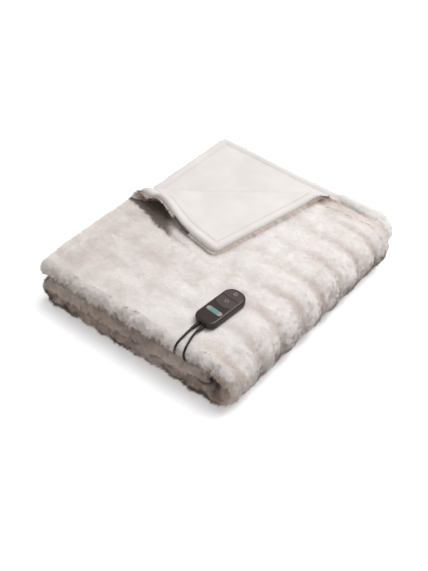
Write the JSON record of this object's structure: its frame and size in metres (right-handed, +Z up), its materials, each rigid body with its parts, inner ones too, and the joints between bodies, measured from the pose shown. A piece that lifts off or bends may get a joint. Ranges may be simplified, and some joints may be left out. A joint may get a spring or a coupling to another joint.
{
  "type": "electric heated blanket",
  "caption": "Electric heated throw of ruched pile, folded in half and in thirds with one corner turned back, its wired handset with display and keys lying on top.",
  "frame": {"origin": "on the surface it lies on, under the middle of the folded throw", "axes": "+Y along the long side of the folded throw, from the handset's cords towards the bared under layer; +X towards the full-height fold; +Z up"},
  "size_m": [0.5795, 0.754, 0.1617],
  "materials": {
    "pile_fabric": "long ruched pile outside, short plush inside",
    "label_tape": "blank woven tape",
    "case_plastic": "satin",
    "key_rubber": "matte",
    "display_window": "gloss",
    "lead_sheath": "satin",
    "tie_strap": "matte",
    "pin_metal": "plated"
  },
  "bodies": {
    "throw": {"blanket": "pile_fabric", "blank_label": "label_tape", "handset_base": "case_plastic", "handset_cover": "case_plastic", "display_window": "display_window", "relief_blanket": "lead_sheath", "relief_mains": "lead_sheath", "lead_blanket": "lead_sheath", "lead_gland": "lead_sheath", "lead_mains": "lead_sheath", "mains_coil": "lead_sheath", "coil_tie": "tie_strap", "lead_tail": "lead_sheath", "relief_plug": "lead_sheath", "plug_body": "lead_sheath", "plug_pin_a": "pin_metal", "plug_pin_b": "pin_metal"},
    "near_key": {"key_near": "key_rubber"},
    "far_key": {"key_far": "key_rubber"}
  },
  "joints": [
    {"name": "near_key_press", "type": "slide", "parent": "throw", "child": "near_key", "axis": [0, 0, -1], "range_m": [0, 0.0008], "stiffness_N_per_m": 1500, "springref_m": -0.0004},
    {"name": "far_key_press", "type": "slide", "parent": "throw", "child": "far_key", "axis": [0, 0, -1], "range_m": [0, 0.0008], "stiffness_N_per_m": 1500, "springref_m": -0.0004}
  ]
}
